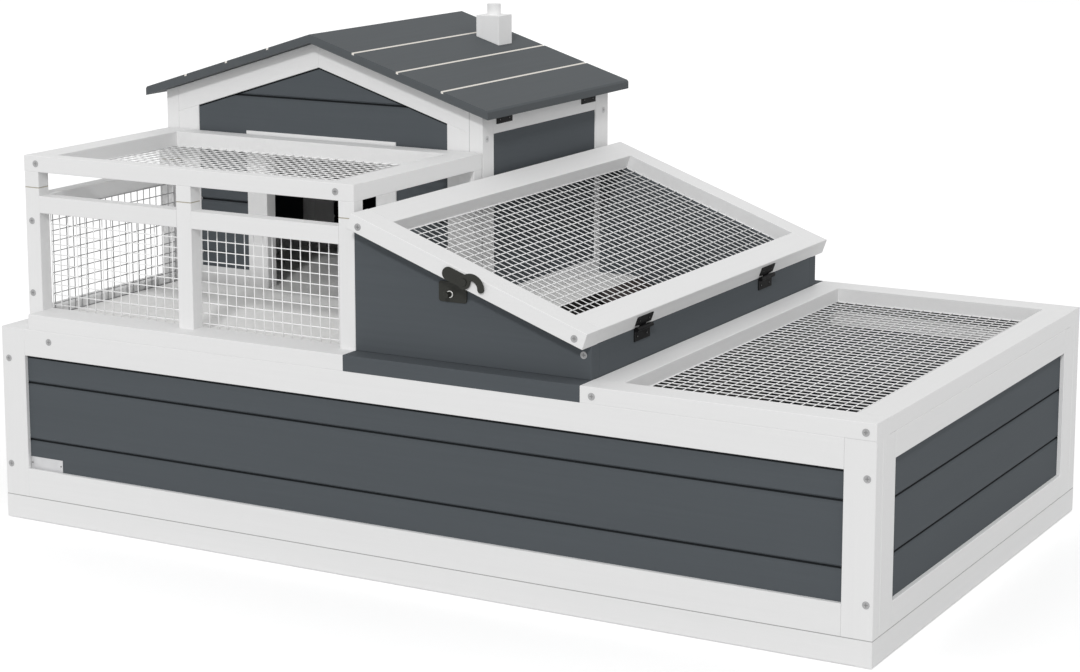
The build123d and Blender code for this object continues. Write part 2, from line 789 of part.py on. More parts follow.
axes = build_all()
to_origin = Pos(-base_length / 2, -base_depth / 2, 0)
write_nodes(to_origin)
for label, (axis_x, axis_z) in zip(("sloping lid", "roof", "latch"), axes):
    print(f"{label} axis at x {axis_x - base_length / 2:.2f}, z {axis_z:.2f} mm")
print(f"{len(nodes)} nodes, {sum(len(solids_of(s)) for s in nodes.values())} solids")
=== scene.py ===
import logging
import math
from dataclasses import dataclass
from enum import Enum
from functools import cached_property, reduce
from typing import Callable, Sequence

import bpy
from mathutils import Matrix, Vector


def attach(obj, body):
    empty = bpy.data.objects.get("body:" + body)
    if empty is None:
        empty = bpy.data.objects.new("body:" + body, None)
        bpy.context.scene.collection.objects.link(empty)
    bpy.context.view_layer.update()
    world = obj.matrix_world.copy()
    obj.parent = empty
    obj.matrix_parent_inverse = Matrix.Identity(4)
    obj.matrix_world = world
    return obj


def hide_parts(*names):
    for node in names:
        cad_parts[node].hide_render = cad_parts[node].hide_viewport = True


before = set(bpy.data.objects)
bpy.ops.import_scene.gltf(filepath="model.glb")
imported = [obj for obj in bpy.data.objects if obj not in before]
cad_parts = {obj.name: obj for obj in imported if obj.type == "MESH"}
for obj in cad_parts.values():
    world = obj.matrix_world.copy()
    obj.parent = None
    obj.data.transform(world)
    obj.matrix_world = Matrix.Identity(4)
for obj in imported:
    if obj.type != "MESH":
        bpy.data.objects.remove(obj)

log = logging.getLogger("tortoise_house")
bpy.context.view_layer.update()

Point = tuple[float, float, float]
Pair = tuple[float, float]
Object = bpy.types.Object
Material = bpy.types.Material
Node = bpy.types.Node
Socket = bpy.types.NodeSocket
FaceTest = Callable[[bpy.types.MeshPolygon], bool]
ScrewGroup = tuple[str, Vector, Sequence[Point]]

# The shop drawing measures in millimetres from the front left bottom corner. The frame's
# origin lies on it in the middle of the box's footprint.
MM = 0.001
BOX_LENGTH = 1100.0
BOX_DEPTH = 640.0
SHOP_ORIGIN: Point = (BOX_LENGTH / 2, BOX_DEPTH / 2, 0.0)

# Place of the roof's ridge, and the slopes of the roof and the sloping lid in degrees.
RIDGE_X = 250.0
ROOF_SLOPE = 17.4
LID_SLOPE = 19.6

# How far a face's normal has to agree with a direction for the face to look that way.
FACING = 0.9

# Faces across a rounded edge, and the angle in degrees from which an edge is rounded.
ROUND_FACES = 2
SHARP_ANGLE = 40.0

# How near to a cut's floor, in metres, a face has to lie to belong to it.
FLOOR_TOLERANCE = 0.01 * MM

WHITE_LIGHT = (1.0, 1.0, 1.0, 1.0)


class Axis(Enum):
    """Direction that a board's grain or a wire runs in."""

    X = 0
    Y = 1
    Z = 2


X, Y, Z = Axis


class Mixed(Enum):
    """Kind of mix node, with the numbers of its two inputs and its output."""

    RGBA = ((6, 7), 2)
    VECTOR = ((4, 5), 1)


def metres(axis: Axis, place: float) -> float:
    """Turn a place along one axis of the shop drawing into the model's metres."""
    return (place - SHOP_ORIGIN[axis.value]) * MM


def at(x: float, y: float, z: float) -> Vector:
    """Turn a place on the shop drawing into the model's metres.

    Args:
        x: Millimetres to the right of the front left bottom corner.
        y: Millimetres behind it.
        z: Millimetres above it.

    Returns:
        The same place in the frame's metres.
    """
    return Vector([metres(axis, place) for axis, place in zip(Axis, (x, y, z))])


# ---------------------------------------------------------------- modelling


def deselect() -> None:
    """Leave edit mode and let go of every object."""
    if bpy.context.object and bpy.context.object.mode != "OBJECT":
        bpy.ops.object.mode_set(mode="OBJECT")
    bpy.ops.object.select_all(action="DESELECT")


def take(obj: Object) -> None:
    """Make one object the selected and active one.

    Args:
        obj: Object to take.
    """
    deselect()
    obj.select_set(True)
    bpy.context.view_layer.objects.active = obj


def settle(obj: Object) -> Object:
    """Apply an object's place, turn and size to its mesh.

    Args:
        obj: Object to settle.

    Returns:
        The same object.
    """
    take(obj)
    bpy.ops.object.transform_apply(location=True, rotation=True, scale=True)
    return obj


def edit_faces(obj: Object, wanted: FaceTest) -> None:
    """Enter edit mode with only the wanted faces selected.

    Args:
        obj: Object whose faces are picked.
        wanted: Test that says whether a face is picked.
    """
    take(obj)
    mesh = obj.data
    for part in (mesh.vertices, mesh.edges, mesh.polygons):
        part.foreach_set("select", [False] * len(part))
    for polygon in mesh.polygons:
        polygon.select = wanted(polygon)
    bpy.ops.object.mode_set(mode="EDIT")
    bpy.ops.mesh.select_mode(type="FACE")


def finish_edit() -> None:
    """Go back to object mode."""
    bpy.ops.object.mode_set(mode="OBJECT")


def add_block(name: str, low: Vector, high: Vector) -> Object:
    """Add a block between two corners, settled in place.

    Args:
        name: Name of the new object.
        low: Lowest corner.
        high: Highest corner.

    Returns:
        The new object.
    """
    deselect()
    bpy.ops.mesh.primitive_cube_add(size=1.0, location=(low + high) / 2)
    obj = bpy.context.object
    obj.name = name
    obj.scale = high - low
    return settle(obj)


def add_rod(name: str, radius: float, start: Vector, end: Vector, sides: int) -> Object:
    """Add a rod between two points, settled in place.

    Args:
        name: Name of the new object.
        radius: Radius in metres.
        start: Middle of one end.
        end: Middle of the other end.
        sides: Number of sides.

    Returns:
        The new object.
    """
    deselect()
    run = end - start
    bpy.ops.mesh.primitive_cylinder_add(
        vertices=sides, radius=radius, depth=run.length, location=(start + end) / 2,
        rotation=run.to_track_quat("Z", "Y").to_euler(),
    )
    obj = bpy.context.object
    obj.name = name
    return settle(obj)


def apply_modifier(obj: Object, name: str) -> None:
    """Apply one of an object's modifiers."""
    take(obj)
    bpy.ops.object.modifier_apply(modifier=name)


def round_edges(obj: Object, width: float) -> Object:
    """Round an object's sharp edges with a bevel.

    Args:
        obj: Object to round.
        width: Width of the rounding in metres.

    Returns:
        The same object.
    """
    bevel = obj.modifiers.new("rounding", "BEVEL")
    bevel.width = width
    bevel.segments = ROUND_FACES
    bevel.limit_method = "ANGLE"
    bevel.angle_limit = math.radians(SHARP_ANGLE)
    apply_modifier(obj, "rounding")
    return obj


def cut_away(obj: Object, cutter: Object) -> None:
    """Cut one object's shape out of another and delete it.

    Args:
        obj: Object to cut.
        cutter: Shape that goes.
    """
    cut = obj.modifiers.new("cut", "BOOLEAN")
    cut.operation = "DIFFERENCE"
    cut.solver = "EXACT"
    cut.object = cutter
    apply_modifier(obj, "cut")
    bpy.data.objects.remove(cutter)


def repeat(obj: Object, count: int, step: Vector) -> Object:
    """Repeat an object in a row at one step.

    Args:
        obj: Object to repeat.
        count: Number of copies, the first one included.
        step: Distance from one copy to the next.

    Returns:
        The same object, now the whole row.
    """
    row = obj.modifiers.new("row", "ARRAY")
    row.count = count
    row.use_relative_offset = False
    row.use_constant_offset = True
    row.constant_offset_displace = step
    apply_modifier(obj, "row")
    return obj


def join(name: str, objects: Sequence[Object]) -> Object:
    """Join several objects into one with its own mesh.

    Args:
        name: Name of the joined object.
        objects: Objects to join.

    Returns:
        The joined object, settled at the origin.
    """
    deselect()
    for obj in objects:
        obj.select_set(True)
    bpy.context.view_layer.objects.active = objects[0]
    if len(objects) > 1:
        bpy.ops.object.join()
    joined = bpy.context.view_layer.objects.active
    joined.name = name
    joined.data.name = name
    return settle(joined)


def smooth(obj: Object, degrees: float = 35.0) -> None:
    """Shade an object smooth except across sharp edges."""
    take(obj)
    bpy.ops.object.shade_smooth_by_angle(angle=math.radians(degrees))


# ---------------------------------------------------------------- finishes


class Sheet:
    """Node sheet of one material, with short calls to add and link nodes."""

    def __init__(self, name: str) -> None:
        """Make an empty material of that name with one principled shader.

        Args:
            name: Name of the material.
        """
        self.material = bpy.data.materials.new(name)
        self.material.use_nodes = True
        self.tree = self.material.node_tree
        self.tree.nodes.clear()
        self.shader = self.add("ShaderNodeBsdfPrincipled")
        output = self.add("ShaderNodeOutputMaterial")
        self.tree.links.new(self.shader.outputs["BSDF"], output.inputs["Surface"])
        self.coords = self.add("ShaderNodeTexCoord").outputs["Object"]

    def add(self, kind: str, **settings: object) -> Node:
        """Add a node with some of its settings.

        Args:
            kind: Type of the node.
            **settings: Its settings.

        Returns:
            The new node.
        """
        node = self.tree.nodes.new(kind)
        for key, value in settings.items():
            setattr(node, key, value)
        return node

    def link(self, source: Socket, node: Node, socket: int | str) -> None:
        """Link an output to a node's input."""
        self.tree.links.new(source, node.inputs[socket])

    @cached_property
    def places(self) -> Sequence[Socket]:
        """Object coordinates along X, Y and Z, in metres.

        Returns:
            The three coordinates.
        """
        split = self.add("ShaderNodeSeparateXYZ")
        self.link(self.coords, split, 0)
        return tuple(split.outputs)

    def place(self, axis: Axis) -> Socket:
        """Object coordinate along one axis, in metres."""
        return self.places[axis.value]

    def offset(self, axis: Axis, place: float) -> Socket:
        """Distance in metres along one axis from a place in shop millimetres."""
        return self.math("ABSOLUTE", self.math("SUBTRACT", self.place(axis), metres(axis, place)))

    def rise(self) -> Socket:
        """Height at the ridge, in metres, of the roof plane that goes through each point."""
        fall = self.math("MULTIPLY", self.offset(X, RIDGE_X), math.tan(math.radians(ROOF_SLOPE)))
        return self.math("ADD", self.place(Z), fall)

    def stretched(self, along: Axis, length: float, across: float) -> Socket:
        """Object coordinates with one scale along an axis and another across it.

        Args:
            along: Axis along the boards.
            length: Scale along it.
            across: Scale across it.

        Returns:
            The scaled coordinates.
        """
        mapping = self.add("ShaderNodeMapping")
        scale = [length if axis is along else across for axis in Axis]
        mapping.inputs["Scale"].default_value = scale
        self.link(self.coords, mapping, "Vector")
        return mapping.outputs["Vector"]

    def noise(self, vector: Socket, scale: float, detail: float, rough: float = 0.5) -> Socket:
        """Noise value over a vector.

        Args:
            vector: Coordinates to use.
            scale: Scale of the noise.
            detail: Its detail.
            rough: Its roughness.

        Returns:
            The noise value.
        """
        node = self.add("ShaderNodeTexNoise")
        node.inputs["Scale"].default_value = scale
        node.inputs["Detail"].default_value = detail
        node.inputs["Roughness"].default_value = rough
        self.link(vector, node, "Vector")
        return node.outputs["Fac"]

    def math(self, operation: str, *values: float | Socket) -> Socket:
        """Maths on one to three values or sockets.

        Args:
            operation: What to do.
            *values: Values or sockets, in order.

        Returns:
            The result.
        """
        node = self.add("ShaderNodeMath", operation=operation)
        for index, value in enumerate(values):
            if isinstance(value, (int, float)):
                node.inputs[index].default_value = value
            else:
                self.link(value, node, index)
        return node.outputs[0]

    def merge(self, operation: str, values: Sequence[Socket]) -> Socket:
        """Maths that takes many values together, one after the other."""
        return reduce(lambda merged, value: self.math(operation, merged, value), values)

    def ramp(self, factor: Socket, span: Pair, colours: Sequence[Point]) -> Socket:
        """Two colours spread over a factor.

        Args:
            factor: Value from 0 to 1.
            span: Values at which the two colours are reached.
            colours: The two colours.

        Returns:
            The colour output.
        """
        node = self.add("ShaderNodeValToRGB")
        for element, place, colour in zip(node.color_ramp.elements, span, colours):
            element.position = place
            element.color = (*colour, 1.0)
        self.link(factor, node, "Fac")
        return node.outputs["Color"]

    def mix(
        self, factor: Socket, first: Point | Socket, second: Point | Socket,
        mixed: Mixed = Mixed.RGBA, **settings: object,
    ) -> Socket:
        """Mix of two colours or vectors.

        Args:
            factor: Share of the second one.
            first: Colour or socket at factor 0.
            second: Colour or socket at factor 1.
            mixed: Kind of mix.
            **settings: Other settings of the node.

        Returns:
            The mixed output.
        """
        inputs, output = mixed.value
        node = self.add("ShaderNodeMix", data_type=mixed.name, **settings)
        self.link(factor, node, 0)
        for index, value in zip(inputs, (first, second)):
            if isinstance(value, tuple):
                node.inputs[index].default_value = (*value, 1.0)
            else:
                self.link(value, node, index)
        return node.outputs[output]

    def dim(self, factor: Socket, colour: Socket, tint: Point) -> Socket:
        """Multiply a colour by a tint where a factor is 1."""
        return self.mix(factor, colour, tint, blend_type="MULTIPLY")

    def roughen(self, value: Socket, middle: float, spread: float) -> None:
        """Let the shader's roughness follow a value on both sides of a middle."""
        rough = self.math("MULTIPLY_ADD", value, spread, middle - spread / 2)
        self.link(rough, self.shader, "Roughness")

    def bump(self, height: Socket, strength: float, distance: float) -> None:
        """Give the shader a bump from a height.

        Args:
            height: Height to follow.
            strength: Strength of the bump.
            distance: Its height in metres.
        """
        node = self.add("ShaderNodeBump")
        node.inputs["Strength"].default_value = strength
        node.inputs["Distance"].default_value = distance
        self.link(height, node, "Height")
        self.link(node.outputs["Normal"], self.shader, "Normal")


def grey(share: float) -> Point:
    """Neutral colour, or tint, with one share in all channels."""
    return (share, share, share)


def tones_of(colour: Point, *shares: float) -> tuple[Point, ...]:
    """A colour made lighter or darker by each of some shares."""
    return tuple(tuple(min(channel * share, 1.0) for channel in colour) for share in shares)


@dataclass(frozen=True)
class GrainPlan:
    """Which way the boards of a node run.

    Attributes:
        along: Grain of the boards in the node's middle.
        edge_axis: Axis across which the outer boards lie, if they run another way.
        middle: Middle of the inner boards on that axis, in shop millimetres.
        half: Half their width.
        edge_along: Grain of the outer boards.
    """

    along: Axis
    edge_axis: Axis | None = None
    middle: float = 0.0
    half: float = 0.0
    edge_along: Axis = Z

    @property
    def label(self) -> str:
        """Short name for the material.

        Returns:
            The name.
        """
        if self.edge_axis is None:
            return self.along.name.lower()
        grains = f"{self.along.name}_{self.edge_along.name}".lower()
        return f"{grains}_{self.middle:.0f}_{self.half:.0f}"

    def vector(self, sheet: Sheet, length: float, across: float) -> Socket:
        """Coordinates stretched along the boards, which may run two ways in one node.

        Args:
            sheet: Node sheet to add to.
            length: Scale along the boards.
            across: Scale across them.

        Returns:
            The stretched coordinates.
        """
        inner = sheet.stretched(self.along, length, across)
        if self.edge_axis is None:
            return inner
        outer = sheet.stretched(self.edge_along, length, across)
        offset = sheet.offset(self.edge_axis, self.middle)
        outside = sheet.math("GREATER_THAN", offset, self.half * MM)
        return sheet.mix(outside, inner, outer, Mixed.VECTOR)


@dataclass(frozen=True)
class Bound:
    """Limit of a part darkened as painted shade, beyond or before a place in shop millimetres."""

    axis: Axis
    start: float
    beyond: bool = True


@dataclass(frozen=True)
class Marks:
    """Lines where boards meet, and a part of a node darkened as painted shade.

    The dark lines are painted shade in the grooves and gaps between boards. The peak's line is a
    painted shadow under the gable's rakes. The tan lines are bare wood.

    Attributes:
        seams: Heights of the level lines, in shop millimetres.
        half: Half a line's width.
        seam_tint: What the boards' colour is multiplied by on a line.
        painted_shade: Limits of the part darkened as painted shade.
        stain_tint: What the colour is multiplied by on that part.
        peak: Height of a gable's peak, with a painted shadow line down both its slopes.
        uprights: Places of the upright lines along the length, in shop millimetres.
    """

    seams: tuple[float, ...] = ()
    half: float = 1.1
    seam_tint: Point = grey(0.2)
    painted_shade: tuple[Bound, ...] = ()
    stain_tint: Point = grey(0.28)
    peak: float | None = None
    uprights: tuple[float, ...] = ()

    @property
    def label(self) -> str:
        """Short name for the material.

        Returns:
            The name.
        """
        parts = [f"{seam:.0f}" for seam in self.seams]
        parts += [f"{bound.axis.name}{bound.start:.0f}".lower() for bound in self.painted_shade]
        parts += [f"u{place:.0f}" for place in self.uprights]
        return "_".join(parts) or "plain"

    def line_mask(self, sheet: Sheet, axis: Axis, spots: Sequence[float]) -> Socket:
        """Share that is 1 on some of the lines."""
        on = [sheet.math("LESS_THAN", sheet.offset(axis, spot), self.half * MM) for spot in spots]
        return sheet.merge("MAXIMUM", on)

    def stain_mask(self, sheet: Sheet) -> Socket:
        """Share that is 1 on the part darkened as painted shade.

        Args:
            sheet: Node sheet to add to.

        Returns:
            The share.
        """
        inside = []
        for bound in self.painted_shade:
            side = "GREATER_THAN" if bound.beyond else "LESS_THAN"
            start = metres(bound.axis, bound.start)
            inside.append(sheet.math(side, sheet.place(bound.axis), start))
        return sheet.merge("MULTIPLY", inside)

    def darken(self, sheet: Sheet, colour: Socket) -> Socket:
        """Darken a colour with painted shade on the shaded part and on the lines.

        Args:
            sheet: Node sheet to add to.
            colour: Colour of the boards.

        Returns:
            The colour with its marks.
        """
        # The shaded part gets its painted shade.
        if self.painted_shade:
            colour = sheet.dim(self.stain_mask(sheet), colour, self.stain_tint)
        for axis, places in ((Z, self.seams), (X, self.uprights)):
            if places:
                colour = sheet.dim(self.line_mask(sheet, axis, places), colour, self.seam_tint)
        # A painted shadow line down both slopes, under the gable's rakes.
        if self.peak is not None:
            edge = (self.peak - 2 * self.half) * MM
            line = sheet.math("GREATER_THAN", sheet.rise(), edge)
            colour = sheet.dim(line, colour, self.seam_tint)
        return colour


PLAIN = Marks()


@dataclass(frozen=True)
class Pattern:
    """Noise stretched along the boards.

    The span holds the values at which the first and the second colour are reached.
    """

    length: float
    across: float
    detail: float
    rough: float
    span: Pair = (0.3, 0.7)

    def value(self, sheet: Sheet, plan: GrainPlan) -> Socket:
        """Noise value over boards that run as the plan says."""
        vector = plan.vector(sheet, self.length, self.across)
        return sheet.noise(vector, 1.0, self.detail, self.rough)


@dataclass(frozen=True)
class PaintedWood:
    """Planed softwood under a thin coat of paint that lets the grain show a little."""

    name: str
    colour: Point
    tone: float = 0.05
    grain_depth: float = 0.00025
    roughness: float = 0.55
    gloss: float = 0.3
    grain: Pattern = Pattern(5.0, 220.0, 7.0, 0.62)
    figure: Pattern = Pattern(1.6, 26.0, 3.0, 0.5, (0.25, 0.75))
    patches: Pair = (9.0, 2.0)
    rough_spread: float = 0.18
    grain_share: float = 0.6
    strength: float = 0.5

    def make(self, plan: GrainPlan, marks: Marks) -> Material:
        """Build the material for boards that run as the plan says.

        Args:
            plan: Which way the boards run.
            marks: Their lines and their stained part.

        Returns:
            The material.
        """
        sheet = Sheet(f"{self.name}_{plan.label}_{marks.label}")
        grain, figure = self.grain.value(sheet, plan), self.figure.value(sheet, plan)
        patches = sheet.noise(sheet.coords, *self.patches)
        tones = tones_of(self.colour, 1.0 - self.tone, 1.0 + self.tone)
        fine = sheet.ramp(grain, self.grain.span, tones)
        broad = sheet.ramp(figure, self.figure.span, tones)
        colour = marks.darken(sheet, sheet.mix(patches, fine, broad))
        sheet.link(colour, sheet.shader, "Base Color")
        sheet.roughen(grain, self.roughness, self.rough_spread)
        sheet.shader.inputs["Specular IOR Level"].default_value = self.gloss
        low = sheet.math("MULTIPLY", grain, self.grain_share)
        high = sheet.math("MULTIPLY", figure, 1.0 - self.grain_share)
        sheet.bump(sheet.math("ADD", low, high), self.strength, self.grain_depth)
        return sheet.material


@dataclass(frozen=True)
class GroovedRoofPaint:
    """Dark roof paint, with pale bare wood inside the grooves between the boards."""

    name: str
    colour: Point
    bare: Point
    tones: Pair = (0.94, 1.07)
    grain: Pattern = Pattern(5.0, 200.0, 7.0, 0.62)
    patches: Pair = (11.0, 3.0)
    pitch: float = 62.0
    groove: float = 1.6
    # Grooves lie between this many boards from the ridge, and are bare down to this much
    # below the plane of the boards' top faces, whose height at the ridge is given.
    boards: float = 3.5
    top: float = 561.96
    skin: float = 2.4
    roughness: float = 0.6
    gloss: float = 0.05
    strength: float = 0.5
    grain_depth: float = 0.0003

    def groove_mask(self, sheet: Sheet) -> Socket:
        """Share that is 1 inside the grooves.

        Args:
            sheet: Node sheet to add to.

        Returns:
            The share.
        """
        reach, half_pitch = sheet.offset(X, RIDGE_X), self.pitch / 2 * MM
        in_pitch = sheet.math("PINGPONG", reach, half_pitch)
        return sheet.merge("MULTIPLY", (
            sheet.math("LESS_THAN", in_pitch, self.groove * MM),
            sheet.math("GREATER_THAN", reach, half_pitch),
            sheet.math("GREATER_THAN", sheet.rise(), (self.top - self.skin) * MM),
            sheet.math("LESS_THAN", reach, self.pitch * self.boards * MM),
        ))

    def make(self, plan: GrainPlan, marks: Marks) -> Material:
        """Build the material.

        Args:
            plan: Which way the boards run.
            marks: Their lines and their stained part.

        Returns:
            The material.
        """
        sheet = Sheet(self.name)
        grain = self.grain.value(sheet, plan)
        patches = sheet.noise(sheet.coords, *self.patches)
        fine = sheet.ramp(grain, self.grain.span, tones_of(self.colour, *self.tones))
        paint = sheet.mix(patches, fine, self.colour)
        colour = marks.darken(sheet, sheet.mix(self.groove_mask(sheet), paint, self.bare))
        sheet.link(colour, sheet.shader, "Base Color")
        sheet.shader.inputs["Roughness"].default_value = self.roughness
        sheet.shader.inputs["Specular IOR Level"].default_value = self.gloss
        sheet.bump(grain, self.strength, self.grain_depth)
        return sheet.material


@dataclass(frozen=True)
class WashedWood:
    """Softwood of the deck, floor and ramp, its grain plain to see."""

    name: str
    pale: Point
    dark: Point
    lines: Pattern = Pattern(2.5, 90.0, 8.0, 0.65, (0.28, 0.62))
    figure: Pattern = Pattern(1.2, 18.0, 4.0, 0.55, (0.3, 0.8))
    patches: Pair = (6.0, 2.0)
    roughness: float = 0.7
    gloss: float = 0.2
    strength: float = 0.6
    grain_depth: float = 0.0003

    def make(self, plan: GrainPlan, marks: Marks) -> Material:
        """Build the material.

        Args:
            plan: Which way the boards run.
            marks: Their lines and their stained part.

        Returns:
            The material.
        """
        sheet = Sheet(f"{self.name}_{plan.label}")
        lines, figure = self.lines.value(sheet, plan), self.figure.value(sheet, plan)
        fine = sheet.ramp(lines, self.lines.span, (self.dark, self.pale))
        broad = sheet.ramp(figure, self.figure.span, (self.pale, self.dark))
        patches = sheet.noise(sheet.coords, *self.patches)
        colour = marks.darken(sheet, sheet.mix(patches, fine, broad))
        sheet.link(colour, sheet.shader, "Base Color")
        sheet.shader.inputs["Roughness"].default_value = self.roughness
        sheet.shader.inputs["Specular IOR Level"].default_value = self.gloss
        sheet.bump(lines, self.strength, self.grain_depth)
        return sheet.material


@dataclass(frozen=True)
class PlainMetal:
    """Metal or painted metal with fine scratches and uneven gloss."""

    name: str
    colour: Point
    metallic: float
    roughness: float
    tone: float = 0.12
    gloss: float = 0.5
    grit: Pair = (900.0, 3.0)
    bloom: Pair = (75.0, 4.0)
    span: Pair = (0.3, 0.7)
    rough_spread: float = 0.2
    strength: float = 0.25
    depth: float = 0.00005

    def make(self) -> Material:
        """Build the material.

        Returns:
            The material.
        """
        sheet = Sheet(self.name)
        grit, bloom = (sheet.noise(sheet.coords, *noise) for noise in (self.grit, self.bloom))
        tones = tones_of(self.colour, 1.0 - self.tone, 1.0 + self.tone)
        sheet.link(sheet.ramp(bloom, self.span, tones), sheet.shader, "Base Color")
        sheet.roughen(bloom, self.roughness, self.rough_spread)
        sheet.shader.inputs["Metallic"].default_value = self.metallic
        sheet.shader.inputs["Specular IOR Level"].default_value = self.gloss
        sheet.bump(grit, self.strength, self.depth)
        return sheet.material


Timber = PaintedWood | GroovedRoofPaint | WashedWood

WHITE = PaintedWood("white_paint", grey(0.80), tone=0.02, grain_depth=0.00012)
# Lighter copy of the white paint for the chimney: painted light on its faces.
LIT_CHIMNEY_WHITE = PaintedWood("chimney_paint", grey(0.86), tone=0.02, grain_depth=0.00012)
GREY = PaintedWood("grey_paint", (0.0905, 0.1010, 0.1105), tone=0.05, roughness=0.6, gloss=0.03)
ROOF = GroovedRoofPaint("roof_paint", (0.098, 0.107, 0.1135), (0.82, 0.79, 0.74))
DECK = WashedWood("deck_wood", (0.94, 0.94, 0.93), (0.87, 0.865, 0.855))
# Near-black copy of the wood for the floor and hidden framing: painted shade inside the box.
PAINTED_SHADE_WOOD = WashedWood("floor_board", (0.028, 0.028, 0.027), (0.019, 0.019, 0.018))
RAMP = WashedWood("ramp_wood", (0.075, 0.063, 0.060), (0.050, 0.042, 0.040))
BLACK = PlainMetal("hinge_black", (0.007, 0.007, 0.0075), 0.0, 0.5, gloss=0.07)
OLIVE = PlainMetal("latch_olive", (0.026, 0.027, 0.023), 0.0, 0.55, gloss=0.25)
WIRE = PlainMetal("welded_wire", grey(0.94), 0.1, 0.5, tone=0.03)
# Darker copy of the wire for the balcony's left net: painted shade on the side seen from inside.
SHADED_SIDE_WIRE = PlainMetal("dull_wire", (0.36, 0.36, 0.365), 0.2, 0.5, tone=0.06)
ZINC = PlainMetal("screw_zinc", (0.40, 0.40, 0.405), 0.2, 0.5)
PALE_ZINC = PlainMetal("screw_pale", (0.62, 0.62, 0.625), 0.1, 0.5, tone=0.06)
# Darker zinc on the cross's floor: painted shade in the recess.
RECESS_SHADE = PlainMetal("screw_recess", grey(0.24), 0.2, 0.6)
PIN = PlainMetal("plate_pin", grey(0.05), 0.2, 0.5)
# Pale zinc of the stud's washer, partly a painted highlight on the stud.
HIGHLIGHT_ZINC = PlainMetal("stud_zinc", (0.62, 0.62, 0.60), 0.8, 0.3, tone=0.05)
PLATE = PlainMetal("bare_plate", (0.62, 0.62, 0.63), 0.5, 0.36, tone=0.04)


def dress(obj: Object, material: Material) -> None:
    """Give an object one material, in each of its slots or in a new one.

    Args:
        obj: Object to dress.
        material: Its material.
    """
    if len(obj.material_slots):
        for place in obj.material_slots:
            place.material = material
    else:
        obj.data.materials.append(material)


